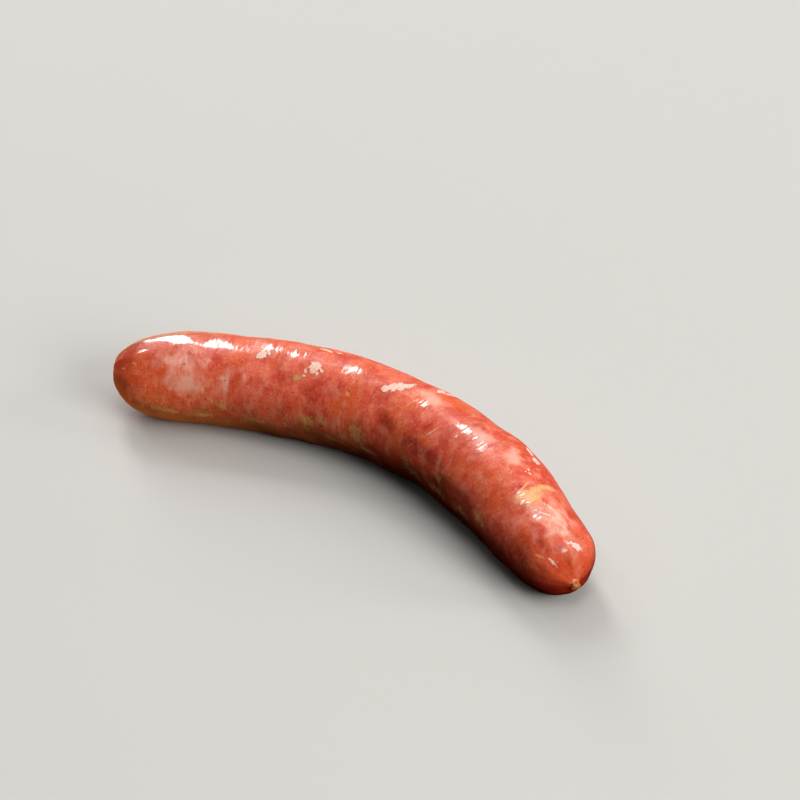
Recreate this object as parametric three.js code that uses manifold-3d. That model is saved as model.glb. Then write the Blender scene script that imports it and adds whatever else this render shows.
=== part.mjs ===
// One cooked sausage link, lying on its side: meat packed in a natural casing, bent like a shallow
// bow, with a tucked-in left tip and a right tip that sags to a small knot of casing.
//
// Millimetres, +Z up. X runs along the chord from the left tip to the knotted right tip, the bow
// bulges towards +Y, and the link rests on a narrow flat at Z = 0 that its own weight presses.
// The origin is the middle of the box round the link, at the resting surface.
//
// A point of the skin is named by two coordinates: along, the distance from the left tip on the
// centreline, and around, the angle about it (0 faces +Y, the outside of the bow, and a quarter
// turn on is up).

import * as THREE from "three";
import { mergeVertices } from "three/addons/utils/BufferGeometryUtils.js";
import Module from "manifold-3d";

const wasm = await Module();
wasm.setup();

// Driving dimensions
const CALIBRE = 31; // thickness where the link is widest, a 30/32 hog casing after cooking
const LENGTH = 190; // on the centreline, from tip to tip
const REST_FLAT_DEPTH = 0.5; // how far the underside is pressed flat

// The bow: straight ends with the bend in the middle
const BOW_ANGLE = THREE.MathUtils.degToRad(52); // between the headings of the two ends
const BOW_SPAN = 0.8; // share of the half-length that bends
const BOW_CENTRE = -0.03; // where the bend is sharpest, -1 at the left tip and 1 at the right

// Thickness along the link
const BARREL = 0.11; // how much thinner than the middle the ends are
const LEFT_TIP = { length: 24.7, bluntness: 2.2, rise: 0.1 };
const RIGHT_TIP = { length: 23, bluntness: 4.2, rise: -0.41 };

// Broad swells and pinches where the meat is packed more or less tightly
const SWELLS = [
  { along: 8, around: 200, height: 1.6, reach: 9 },
  { along: 22, around: 49, height: 0.25, reach: 12 },
  { along: 60, around: 229, height: 0.6, reach: 16 },
  { along: 100, around: 49, height: -0.5, reach: 14 },
  { along: 118, around: 229, height: -0.6, reach: 14 },
  { along: 143, around: 49, height: 1, reach: 10 },
  { along: 174, around: 49, height: -2.2, reach: 12 },
  { along: 184, around: 60, height: -2.2, reach: 9 },
];
const SWELL_STRETCH = 1.3; // a swell reaches this much further round the link than along it

// Lumps of coarse meat under the skin, a sum of waves that run every way over it
const LUMP_WAVES = 16;
const LUMP_HEIGHT = 0.075; // of the longest wave, the others in proportion
const LUMP_LONGEST = 27;
const LUMP_SHRINK = 0.93; // from one wavelength to the next
const GOLDEN_ANGLE = Math.PI * (3 - Math.sqrt(5)); // spreads the waves' directions and phases

// The left tip, where the casing is tucked in
const DIMPLE_DEPTH = 1;
const DIMPLE_REACH = 2.6;

// Pleats that gather the casing into both tips
const PLEAT_COUNT = 9;
const PLEAT_HEIGHT = 0.28;
const PLEAT_REACH = 5.5; // from the tip's centre out along the skin
const PLEAT_TWIST = 0.5; // turn of the pleats over that reach, in radians

// The knot of casing on the right tip
const KNOT_LENGTH = 1.8;
const KNOT_SUNK = 1.5; // how far its root starts inside the skin
const KNOT_RADIUS = 1.5;
const KNOT_WAIST = 0.2; // share of the radius lost where it leaves the skin
const KNOT_FOLDS = 5;
const KNOT_FOLD_DEPTH = 0.14; // share of the radius
const KNOT_TWIST = 1.2; // in radians over its length
const KNOT_DROOP = THREE.MathUtils.degToRad(22);

// Fineness of the solid
const RINGS = 116;
const SIDES = 44;
const CENTRELINE_STEPS = 600;
const KNOT_RINGS = 8;
const KNOT_SIDES = 20;

const MAX_RADIUS = CALIBRE / 2;
const TAU = 2 * Math.PI;
const { clamp, degToRad } = THREE.MathUtils;

// -1 at the left tip, 0 in the middle and 1 at the right tip
function place(along) {
  return (2 * along) / LENGTH - 1;
}

// The centreline's direction in plan, as an angle from +X
function heading(along) {
  const bend = clamp((place(along) - BOW_CENTRE) / BOW_SPAN, -1, 1);
  return (-BOW_ANGLE / 2) * Math.sin((Math.PI / 2) * bend);
}

// How full the link is: 1 over the body, falling to 0 at each tip as a blunt rounded end
function fullness(along) {
  const left = clamp(1 - along / LEFT_TIP.length, 0, 1);
  const right = clamp(1 - (LENGTH - along) / RIGHT_TIP.length, 0, 1);
  return Math.sqrt(
    (1 - left ** LEFT_TIP.bluntness) * (1 - right ** RIGHT_TIP.bluntness),
  );
}

// Radius of the barrelled body before its tips are rounded off
function bodyRadius(along) {
  return MAX_RADIUS * (1 - BARREL * place(along) ** 2);
}

// Height of the section's centre: the body lies on the ground, and the tips rise or sag
function centreHeight(along) {
  const body = bodyRadius(along);
  const tip = place(along) < 0 ? LEFT_TIP : RIGHT_TIP;
  const lost = body * (1 - fullness(along));
  return body + tip.rise * lost - REST_FLAT_DEPTH;
}

// The centreline in plan, found by walking along it in short steps, with its chord's middle at 0
function walkCentreline() {
  const step = LENGTH / CENTRELINE_STEPS;
  const points = [new THREE.Vector2(0, 0)];
  for (let i = 0; i < CENTRELINE_STEPS; i++) {
    const turn = heading((i + 0.5) * step);
    const next = new THREE.Vector2(Math.cos(turn), Math.sin(turn));
    points.push(next.multiplyScalar(step).add(points[i]));
  }
  const middle = points[0].clone().add(points[CENTRELINE_STEPS]).divideScalar(2);
  return points.map((p) => p.sub(middle));
}

const centreline = walkCentreline();

// The centreline's point at a distance from the left tip
function centreAt(along) {
  const steps = clamp((along / LENGTH) * CENTRELINE_STEPS, 0, CENTRELINE_STEPS);
  const first = Math.min(Math.floor(steps), CENTRELINE_STEPS - 1);
  return centreline[first].clone().lerp(centreline[first + 1], steps - first);
}

// The smallest signed turn from one angle to another
function turnBetween(from, to) {
  const turn = (to - from + Math.PI) % TAU;
  return (turn < 0 ? turn + TAU : turn) - Math.PI;
}

function swellHeight(along, around) {
  let height = 0;
  for (const swell of SWELLS) {
    const ahead = (along - swell.along) / swell.reach;
    const aside =
      (MAX_RADIUS * turnBetween(degToRad(swell.around), around)) /
      (SWELL_STRETCH * swell.reach);
    height += swell.height * Math.exp(-(ahead ** 2) - aside ** 2);
  }
  return height;
}

function lumpHeight(along, around) {
  let height = 0;
  for (let i = 0; i < LUMP_WAVES; i++) {
    const share = LUMP_SHRINK ** i;
    const pace = TAU / (LUMP_LONGEST * share);
    const ahead = pace * Math.cos(i * GOLDEN_ANGLE);
    const turns = Math.round(pace * MAX_RADIUS * Math.sin(i * GOLDEN_ANGLE));
    height += share * Math.cos(ahead * along + turns * around + i * i);
  }
  return LUMP_HEIGHT * height;
}

// Pleats fan out from a tip and fade with the distance from its centre, where they also vanish
function pleatHeight(fromTip, around) {
  const share = fromTip / PLEAT_REACH;
  const fade = share * Math.exp(1 - share) * Math.exp(-(share ** 2) / 4);
  return PLEAT_HEIGHT * fade * Math.cos(PLEAT_COUNT * around + PLEAT_TWIST * share);
}

// A point of the skin
function skinPoint(along, around) {
  const full = fullness(along);
  const bare = bodyRadius(along) * full;
  const radius =
    bare +
    full * (swellHeight(along, around) + lumpHeight(along, around)) +
    pleatHeight(bare, around);
  const turn = heading(along);
  const left = place(along) < 0;
  const tuck = left ? DIMPLE_DEPTH * Math.exp(-((bare / DIMPLE_REACH) ** 2)) : 0;
  const out = radius * Math.cos(around);
  const centre = centreAt(along);
  return new THREE.Vector3(
    centre.x + Math.cos(turn) * tuck - Math.sin(turn) * out,
    centre.y + Math.sin(turn) * tuck + Math.cos(turn) * out,
    centreHeight(along) + radius * Math.sin(around),
  );
}

// A closed surface from rings of points between two end points
function ringedGeometry(start, rings, end) {
  const sides = rings[0].length;
  const points = [start, ...rings.flat(), end];
  const last = points.length - 1;
  const at = (ring, side) => 1 + ring * sides + (side % sides);
  const index = [];
  for (let side = 0; side < sides; side++) {
    index.push(0, at(0, side + 1), at(0, side));
    for (let ring = 0; ring + 1 < rings.length; ring++) {
      const [a, b] = [at(ring, side), at(ring, side + 1)];
      const [c, d] = [at(ring + 1, side), at(ring + 1, side + 1)];
      index.push(a, b, d, a, d, c);
    }
    index.push(last, at(rings.length - 1, side), at(rings.length - 1, side + 1));
  }
  const geometry = new THREE.BufferGeometry().setFromPoints(points);
  geometry.setIndex(index);
  return geometry;
}

// The meat in its casing. Rings crowd towards the tips, where the skin curves most.
function linkGeometry() {
  const rings = [];
  for (let i = 1; i < RINGS; i++) {
    const along = (LENGTH * (1 - Math.cos((Math.PI * i) / RINGS))) / 2;
    const ring = [];
    for (let j = 0; j < SIDES; j++) ring.push(skinPoint(along, (TAU * j) / SIDES));
    rings.push(ring);
  }
  return ringedGeometry(skinPoint(0, 0), rings, skinPoint(LENGTH, 0));
}

// The knot: a stub of twisted folds along +X, nipped in at the skin and rounded at its end
function knotGeometry() {
  const rings = [];
  for (let i = 0; i < KNOT_RINGS; i++) {
    const share = i / KNOT_RINGS;
    const round = Math.sqrt(1 - share ** 5);
    const nip = 1 - KNOT_WAIST * Math.sin(Math.PI * share);
    const ring = [];
    for (let j = 0; j < KNOT_SIDES; j++) {
      const around = (TAU * j) / KNOT_SIDES;
      const fold = Math.cos(KNOT_FOLDS * around + KNOT_TWIST * share);
      const radius = KNOT_RADIUS * round * nip * (1 + KNOT_FOLD_DEPTH * fold);
      const length = share * (KNOT_LENGTH + KNOT_SUNK) - KNOT_SUNK;
      ring.push(
        new THREE.Vector3(length, radius * Math.cos(around), radius * Math.sin(around)),
      );
    }
    rings.push(ring);
  }
  const root = new THREE.Vector3(-KNOT_SUNK, 0, 0);
  const end = new THREE.Vector3(KNOT_LENGTH, 0, 0);
  return ringedGeometry(root, rings, end);
}

// A closed geometry as a solid, and a solid as a geometry
function solidOf(geometry) {
  const plain = geometry.clone();
  plain.deleteAttribute("normal");
  plain.deleteAttribute("uv");
  const merged = mergeVertices(plain);
  return new wasm.Manifold(
    new wasm.Mesh({
      numProp: 3,
      vertProperties: new Float32Array(merged.attributes.position.array),
      triVerts: new Uint32Array(merged.index.array),
    }),
  );
}

function geometryOf(solid) {
  const mesh = solid.getMesh();
  const geometry = new THREE.BufferGeometry();
  geometry.setAttribute("position", new THREE.BufferAttribute(mesh.vertProperties, 3));
  geometry.setIndex(new THREE.BufferAttribute(mesh.triVerts, 1));
  geometry.computeVertexNormals();
  return geometry;
}

// The link and its knot as one solid, pressed flat where it rests, with the origin under its middle
function sausageGeometry() {
  const tip = skinPoint(LENGTH, 0);
  const aim = new THREE.Euler(0, KNOT_DROOP, heading(LENGTH), "ZYX");
  const knot = knotGeometry();
  knot.applyMatrix4(new THREE.Matrix4().makeRotationFromEuler(aim));
  knot.translate(tip.x, tip.y, tip.z);

  const below = new THREE.BoxGeometry(2 * LENGTH, 2 * LENGTH, CALIBRE);
  below.translate(0, 0, -CALIBRE / 2);

  const whole = solidOf(linkGeometry()).add(solidOf(knot)).subtract(solidOf(below));
  const geometry = geometryOf(whole);
  geometry.computeBoundingBox();
  const middle = geometry.boundingBox.getCenter(new THREE.Vector3());
  return geometry.translate(-middle.x, -middle.y, 0);
}

const cookedCasing = new THREE.MeshStandardMaterial({
  color: 0xc9584a,
  roughness: 0.3,
  metalness: 0,
});

const sausage = new THREE.Mesh(sausageGeometry(), cookedCasing);
sausage.name = "sausage_link";

const part = new THREE.Group();
part.add(sausage);

export default part;
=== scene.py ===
"""A cooked sausage link: coarse pink meat in a thin, oily casing, bent like a shallow bow.

The skin is one closed surface worked out on a grid. A point of it is named by how far it is along
the link from the left tip, and by its angle around the link, where 0 faces +Y, the outside of the
bow, and a quarter turn on is up. Shapes are in millimetres until a mesh is made.
"""

import logging
from dataclasses import dataclass, field
from enum import Enum

import bpy
import numpy as np
from mathutils import Matrix, Vector


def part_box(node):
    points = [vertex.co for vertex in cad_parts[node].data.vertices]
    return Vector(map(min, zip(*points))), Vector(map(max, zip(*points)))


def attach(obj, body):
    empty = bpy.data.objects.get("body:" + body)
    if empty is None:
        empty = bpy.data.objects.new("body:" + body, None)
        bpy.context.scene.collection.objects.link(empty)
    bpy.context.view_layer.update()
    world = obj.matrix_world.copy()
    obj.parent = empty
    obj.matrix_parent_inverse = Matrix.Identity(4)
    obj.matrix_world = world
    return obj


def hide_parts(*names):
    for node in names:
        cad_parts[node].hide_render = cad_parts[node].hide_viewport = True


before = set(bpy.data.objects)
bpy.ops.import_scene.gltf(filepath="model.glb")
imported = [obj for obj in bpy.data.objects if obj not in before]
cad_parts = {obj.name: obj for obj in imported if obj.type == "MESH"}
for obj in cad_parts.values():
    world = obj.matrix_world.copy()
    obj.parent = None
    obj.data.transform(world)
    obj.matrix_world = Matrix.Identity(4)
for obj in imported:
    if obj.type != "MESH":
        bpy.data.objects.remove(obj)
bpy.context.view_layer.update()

Array = np.ndarray
Socket = bpy.types.NodeSocket
Colour = tuple[float, float, float, float]

MM = 0.001
TAU = 2 * np.pi
NODE = "sausage_link"

log = logging.getLogger("sausage")


def paint(red: int, green: int, blue: int) -> Colour:
    """A colour as the eye reads it, 0 to 255, as the linear colour that a shader takes.

    Args:
        red: Red share.
        green: Green share.
        blue: Blue share.

    Returns:
        Linear red, green, blue and an alpha of 1.
    """
    share = np.array([red, green, blue]) / 255
    linear = np.where(share <= 0.04045, share / 12.92, ((share + 0.055) / 1.055) ** 2.4)
    return (*linear.tolist(), 1.0)


def ripples(points: Array, wavelength: float, count: int, seed: int) -> Array:
    """An uneven, smooth field: the sum of plane waves that run every way.

    Each wave is the cosine of the point's distance along a random direction, over a wavelength
    within a third of the one asked for, plus a random phase. The sum is scaled to a spread of 1.

    Args:
        points: Points, one a row.
        wavelength: Typical distance from crest to crest.
        count: How many waves.
        seed: Start of the random draws.

    Returns:
        One height for each point.
    """
    draw = np.random.default_rng(seed)
    ways = draw.normal(size=(count, 3))
    ways /= np.linalg.norm(ways, axis=1, keepdims=True)
    lengths = wavelength * draw.uniform(0.75, 1.35, count)
    phases = draw.uniform(0, TAU, count)
    turns = points @ (ways * (TAU / lengths)[:, None]).T + phases
    return np.sqrt(2 / count) * np.cos(turns).sum(axis=1)


@dataclass(frozen=True)
class Swell:
    """A broad rise or hollow of the body.

    Attributes:
        along: Middle, from the left tip.
        around: Middle, in degrees.
        height: Rise, or a hollow where it is negative.
        reach: Distance at which little is left.
    """

    along: float
    around: float
    height: float
    reach: float


@dataclass(frozen=True)
class Tip:
    """How the body closes at one end.

    Attributes:
        length: Over how long a stretch it closes.
        bluntness: 2 is round, more is blunter.
        rise: How far the tip rises, as a share of the radius, or sags where it is negative.
    """

    length: float
    bluntness: float
    rise: float


@dataclass(frozen=True)
class LinkShape:
    """The body's sizes in millimetres, the same as the solid's."""

    calibre: float = 31
    length: float = 190
    rest_flat_depth: float = 0.5
    bow_angle: float = 52
    bow_span: float = 0.8
    bow_centre: float = -0.03
    barrel: float = 0.11
    left_tip: Tip = Tip(24.7, 2.2, 0.1)
    right_tip: Tip = Tip(23, 4.2, -0.41)
    swells: tuple[Swell, ...] = (
        Swell(8, 200, 1.6, 9),
        Swell(22, 49, 0.25, 12),
        Swell(60, 229, 0.6, 16),
        Swell(100, 49, -0.5, 14),
        Swell(118, 229, -0.6, 14),
        Swell(143, 49, 1, 10),
        Swell(174, 49, -2.2, 12),
        Swell(184, 60, -2.2, 9),
    )
    swell_stretch: float = 1.3
    lump_waves: int = 16
    lump_height: float = 0.075
    lump_longest: float = 27
    lump_shrink: float = 0.93
    dimple_depth: float = 1
    dimple_reach: float = 2.6
    centreline_steps: int = 4000

    @property
    def radius(self) -> float:
        """Half the calibre."""
        return self.calibre / 2

    def place(self, along: Array) -> Array:
        """-1 at the left tip, 0 in the middle and 1 at the right tip."""
        return 2 * along / self.length - 1

    def heading(self, along: Array) -> Array:
        """The centreline's direction in plan, from +X: a sine's half wave between straight ends."""
        bend = np.clip((self.place(along) - self.bow_centre) / self.bow_span, -1, 1)
        return -np.radians(self.bow_angle) / 2 * np.sin(np.pi / 2 * bend)

    def fullness(self, along: Array) -> Array:
        """1 over the body, falling to 0 at each tip as a blunt rounded end."""
        left = np.clip(1 - along / self.left_tip.length, 0, 1)
        right = np.clip(1 - (self.length - along) / self.right_tip.length, 0, 1)
        closed = (1 - left**self.left_tip.bluntness) * (1 - right**self.right_tip.bluntness)
        return np.sqrt(np.clip(closed, 0, 1))

    def body_radius(self, along: Array) -> Array:
        """Radius of the barrelled body before its tips are rounded off."""
        return self.radius * (1 - self.barrel * self.place(along) ** 2)

    def centre(self, along: Array) -> Array:
        """The centreline's points.

        In plan they are reached by walking in the heading's direction, from a start that puts the
        chord's middle at 0. Their height is the body's radius, plus what the tip rises or sags as
        the section shrinks, less the depth that the resting flat is pressed.

        Args:
            along: Distances from the left tip.

        Returns:
            One point a row.
        """
        step = self.length / self.centreline_steps
        middles = (np.arange(self.centreline_steps) + 0.5) * step
        turn = self.heading(middles)
        walk = np.stack([np.cos(turn), np.sin(turn)], axis=1) * step
        path = np.vstack([np.zeros(2), np.cumsum(walk, axis=0)])
        path -= (path[0] + path[-1]) / 2
        stations = np.linspace(0, self.length, self.centreline_steps + 1)
        body = self.body_radius(along)
        rise = np.where(self.place(along) < 0, self.left_tip.rise, self.right_tip.rise)
        height = body + rise * body * (1 - self.fullness(along)) - self.rest_flat_depth
        east = np.interp(along, stations, path[:, 0])
        north = np.interp(along, stations, path[:, 1])
        return np.stack([east, north, height], axis=1)

    def bells(self, swells: tuple[Swell, ...], along: Array, around: Array) -> Array:
        """The sum of swells, each a bell over distance along and, stretched, around."""
        total = np.zeros_like(along)
        for one in swells:
            ahead = (along - one.along) / one.reach
            turn = (around - np.radians(one.around) + np.pi) % TAU - np.pi
            aside = self.radius * turn / (self.swell_stretch * one.reach)
            total += one.height * np.exp(-(ahead**2) - aside**2)
        return total

    def lumps(self, along: Array, around: Array) -> Array:
        """Coarse meat under the skin: waves whose directions turn by the golden angle."""
        total = np.zeros_like(along)
        golden = np.pi * (3 - np.sqrt(5))
        for i in range(self.lump_waves):
            share = self.lump_shrink**i
            pace = TAU / (self.lump_longest * share)
            ahead = pace * np.cos(i * golden)
            turns = np.round(pace * self.radius * np.sin(i * golden))
            total += share * np.cos(ahead * along + turns * around + i * i)
        return self.lump_height * total


@dataclass(frozen=True)
class Mark:
    """An oval patch on the skin.

    Attributes:
        along: Middle, from the left tip.
        around: Middle, in degrees.
        length: Half its length.
        width: Half its width.
        turn: Degrees from the link's length to the oval's own.
    """

    along: float
    around: float
    length: float
    width: float
    turn: float = 90


@dataclass(frozen=True)
class Crease:
    """A fine straight fold of the casing.

    Attributes:
        start: Along, and degrees around, of one end.
        end: The same of the other end.
        width: Half its width.
        height: Its height, or its depth where it is negative.
    """

    start: tuple[float, float]
    end: tuple[float, float]
    width: float = 0.4
    height: float = 0.14


@dataclass(frozen=True)
class SkinPoints:
    """Where every point of the grid is on the unbent link, which fields are worked out on.

    Attributes:
        along: Distance from the left tip.
        around: Angle in radians.
        girth: Radius that turns an angle into a distance.
    """

    along: Array
    around: Array
    girth: float

    def straight(self, squeeze: float = 1) -> Array:
        """The points of a straight round link, with its length multiplied by squeeze."""
        ring = self.girth * np.stack([np.cos(self.around), np.sin(self.around)], axis=1)
        return np.column_stack([self.along * squeeze, ring])

    def offsets(self, along: float, around: float) -> tuple[Array, Array]:
        """Distances on the skin from one place: along the link, and around it by the short way."""
        turn = (self.around - np.radians(around) + np.pi) % TAU - np.pi
        return self.along - along, self.girth * turn

    def patches(self, marks: list[Mark]) -> Array:
        """How far inside the nearest mark each point is.

        A mark gives 1 at its middle and 0 at its rim, falling evenly with the distance measured in
        half lengths and half widths. The largest over all marks is kept, and not less than -2.

        Args:
            marks: The ovals.

        Returns:
            One value for each point.
        """
        best = np.full_like(self.along, -2.0)
        for mark in marks:
            ahead, aside = self.offsets(mark.along, mark.around)
            cos, sin = np.cos(np.radians(mark.turn)), np.sin(np.radians(mark.turn))
            far = np.hypot(
                (ahead * cos + aside * sin) / mark.length,
                (aside * cos - ahead * sin) / mark.width,
            )
            best = np.maximum(best, 1 - far)
        return best

    def creases(self, folds: list[Crease]) -> Array:
        """The height of straight folds: a bell over the distance to the line between two ends.

        The bell is multiplied by a half sine over the line's length, so a fold fades at both ends.

        Args:
            folds: The folds.

        Returns:
            One height for each point.
        """
        total = np.zeros_like(self.along)
        for fold in folds:
            ahead, aside = self.offsets(*fold.start)
            run = fold.end[0] - fold.start[0]
            climb = self.girth * np.radians(fold.end[1] - fold.start[1])
            length = np.hypot(run, climb)
            share = (ahead * run + aside * climb) / length**2
            off = (ahead * climb - aside * run) / length
            fade = np.sin(np.pi * np.clip(share, 0, 1)) ** 0.7
            total += fold.height * fade * np.exp(-((off / fold.width) ** 2))
        return total


@dataclass(frozen=True)
class Ripple:
    """One set of ripples on the skin.

    Attributes:
        height: The spread of its heights.
        wavelength: Typical distance from crest to crest.
        waves: How many waves are added up.
        squeeze: What the link's length is multiplied by. More than 1 makes crests run round it.
        seed: Start of its random draws.
    """

    height: float
    wavelength: float
    waves: int
    squeeze: float
    seed: int

    def heights(self, spots: SkinPoints) -> Array:
        """Its height at each point."""
        points = spots.straight(self.squeeze)
        return self.height * ripples(points, self.wavelength, self.waves, self.seed)


@dataclass
class Casing:
    """The skin with its knot: the body's shape, and the relief that the cooked casing adds.

    Attributes:
        shape: The body.
        rings: Sections from tip to tip, evenly spaced over the skin.
        sides: Points in a section.
        profile_steps: Steps in which the skin's length is measured.
        press_rounding: Height over which the resting flat runs into the side.
        knot_radius: Radius of the casing's knot.
        knot_length: How far the knot stands out.
        knot_droop: Degrees that it hangs.
        knot_rings: Sections of the knot.
        knot_nip: Share of its radius that its neck is drawn in by.
        knot_neck: How far along it the neck is, as a share of its length.
        knot_folds: How many coarse folds run round it.
        pleats: How many folds gather into a tip.
        pleat_height: Their height.
        pleat_reach: How far from the tip's centre they are highest.
        pleat_twist: Radians that they turn over that reach.
        blisters: Small swells that the cooked casing adds.
        uneven: Soft unevenness all over.
        wrinkles: Wrinkles that run round the link.
        wrinkled: Where wrinkles are high and low.
        edge: How steeply a taut or a drawn patch sets in.
        taut_uneven: Share of the unevenness that is gone in a taut patch.
        taut_wrinkles: Share of the wrinkles that is gone there.
        drawn_wrinkles: What a drawn patch adds to the wrinkles' height.
        flake_height: Thickness of a cream flake.
        flake_edge: How steeply it sets in.
    """

    shape: LinkShape = field(default_factory=LinkShape)
    rings: int = 740
    sides: int = 128
    profile_steps: int = 20000
    press_rounding: float = 0.25
    knot_radius: float = 1.5
    knot_length: float = 1.9
    knot_droop: float = 22
    knot_rings: int = 34
    knot_nip: float = 0.26
    knot_neck: float = 0.22
    knot_folds: int = 5
    pleats: int = 9
    pleat_height: float = 0.28
    pleat_reach: float = 5.5
    pleat_twist: float = 0.5
    blisters: tuple[Swell, ...] = (
        Swell(133, 120, 0.24, 4.6),
        Swell(133, 84, 0.18, 4.6),
        Swell(84, 114, 0.15, 3.5),
        Swell(100, 108, 0.12, 3.5),
        Swell(60, 112, 0.14, 4),
        Swell(166, 122, 0.16, 3.5),
        Swell(141.6, 115, 0.26, 2.4),
    )
    uneven: tuple[Ripple, ...] = (Ripple(0.055, 11, 40, 1.1, 7), Ripple(0.022, 4.2, 60, 1.1, 8))
    wrinkles: tuple[Ripple, ...] = (Ripple(0.022, 4.8, 90, 4.5, 10), Ripple(0.007, 2, 90, 2, 11))
    wrinkled: Ripple = Ripple(0.35, 14, 30, 1, 9)
    edge: float = 1.6
    taut_uneven: float = 0.75
    taut_wrinkles: float = 0.6
    drawn_wrinkles: float = 1.1
    flake_height: float = 0.05
    flake_edge: float = 2.5

    def stations(self) -> Array:
        """Distances along at which sections stand.

        The profile's radius is stepped finely over its length, the steps' lengths are added up,
        and stations are read off at even lengths, from just inside the left tip to where the skin
        has narrowed to the knot.

        Returns:
            Increasing distances from the left tip.
        """
        angle = np.linspace(0, np.pi, self.profile_steps + 1)
        fine = self.shape.length * (1 - np.cos(angle)) / 2
        radius = self.shape.body_radius(fine) * self.shape.fullness(fine)
        steps = np.hypot(np.diff(fine), np.diff(radius))
        run = np.concatenate([[0], np.cumsum(steps)])
        past_middle = fine > self.shape.length / 2
        last = np.argmax(past_middle & (radius < self.knot_radius))
        even = np.linspace(0, run[last], self.rings + 1)[1:]
        return np.interp(even, run, fine)

    def pleat_relief(self, bare: Array, around: Array) -> Array:
        """Folds that fan out from a tip: a cosine round it, strongest at the pleats' reach."""
        share = bare / self.pleat_reach
        fade = share * np.exp(1 - share) * np.exp(-(share**2) / 4)
        main = np.cos(self.pleats * around + self.pleat_twist * share)
        fine = np.cos((2 * self.pleats + 1) * around - 2 * self.pleat_twist * share + 1)
        return self.pleat_height * fade * (0.75 * main + 0.25 * fine)

    def skin_relief(self, spots: SkinPoints) -> Array:
        """What the cooked casing adds to the body: soft unevenness, wrinkles, folds and patches.

        The unevenness and the wrinkles are sets of ripples, and the wrinkles' run round the link.
        Wrinkles are higher where one more, broad set is high, and highest in the drawn patches.
        In the taut patches both are mostly smoothed out. Creases and flakes are added on top.

        Args:
            spots: The grid's points on the unbent link.

        Returns:
            Heights in millimetres.
        """
        uneven = sum(one.heights(spots) for one in self.uneven)
        wrinkles = sum(one.heights(spots) for one in self.wrinkles)
        taut = np.clip(self.edge * spots.patches(TAUT_MARKS), 0, 1)
        drawn = np.clip(self.edge * spots.patches(DRAWN_MARKS), 0, 1)
        where = np.clip(self.wrinkled.height + self.wrinkled.heights(spots), 0.1, 1)
        where = where * (1 - self.taut_wrinkles * taut) + self.drawn_wrinkles * drawn
        flake = np.clip(spots.patches(CREAM_MARKS) * self.flake_edge, 0, 1)
        smooth = (1 - self.taut_uneven * taut) * uneven + where * wrinkles
        return smooth + spots.creases(CREASES) + self.flake_height * flake

    def body_points(self, along: Array, around: Array) -> Array:
        """Points of the skin from tip to knot.

        Each lies on a circle across the centreline. The radius is the rounded body's, plus swells,
        lumps and relief that fade with its fullness, plus the pleats. Near the left tip the circle
        is pushed inwards by a bell, which makes the dimple.

        Args:
            along: Distances from the left tip.
            around: Angles in radians.

        Returns:
            One point a row, before the resting flat is pressed.
        """
        shape = self.shape
        full = shape.fullness(along)
        bare = shape.body_radius(along) * full
        spots = SkinPoints(along, around, shape.radius)
        swells = shape.swells + self.blisters
        rough = shape.bells(swells, along, around) + shape.lumps(along, around) + self.skin_relief(spots)
        radius = bare + full * rough + self.pleat_relief(bare, around)
        turn = shape.heading(along)
        dimple = shape.dimple_depth * np.exp(-((bare / shape.dimple_reach) ** 2))
        tuck = np.where(shape.place(along) < 0, dimple, 0)
        out = radius * np.cos(around)
        shift = np.stack(
            [
                np.cos(turn) * tuck - np.sin(turn) * out,
                np.sin(turn) * tuck + np.cos(turn) * out,
                radius * np.sin(around),
            ],
            axis=1,
        )
        return shape.centre(along) + shift

    def knot_points(self, root: Array, share: Array, around: Array) -> Array:
        """Points of the knot that the skin runs into.

        Its sections slide from the skin's last ring along a drooping axis. Their radius is nipped
        in soon after the skin, swells, and closes as a blunt end, and folds run round it.

        Args:
            root: The last ring's centre.
            share: How far along the knot, 0 to 1.
            around: Angles in radians.

        Returns:
            One point a row.
        """
        turn = self.shape.heading(np.array([self.shape.length]))[0]
        droop = np.radians(self.knot_droop)
        ahead = np.array([np.cos(turn) * np.cos(droop), np.sin(turn) * np.cos(droop), -np.sin(droop)])
        aside = np.array([-np.sin(turn), np.cos(turn), 0])
        level = np.array([np.cos(turn), np.sin(turn), 0])
        lean = np.clip(share * 4, 0, 1) * np.sin(droop)
        neck = np.exp(-(((share - self.knot_neck) / 0.2) ** 2))
        nip = 1 - self.knot_nip * neck * np.clip(share * 12, 0, 1)
        close = np.sqrt(np.clip(1 - share**5, 0, 1))
        folds = 0.13 * np.cos(self.knot_folds * around + 1.2 * share)
        folds += 0.05 * np.cos(self.pleats * around + 2 * share)
        radius = self.knot_radius * nip * close * (1 + folds * np.clip(share * 5, 0.25, 1))
        up = np.array([0, 0, 1]) + lean[:, None] * level
        ring = np.cos(around)[:, None] * aside + np.sin(around)[:, None] * up
        return root + (share * self.knot_length)[:, None] * ahead + radius[:, None] * ring

    def press(self, points: Array) -> Array:
        """Presses the underside flat: a height is replaced by a rounded larger of itself and 0."""
        height = points[:, 2]
        points[:, 2] = (height + np.sqrt(height**2 + self.press_rounding**2)) / 2
        return points

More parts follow.
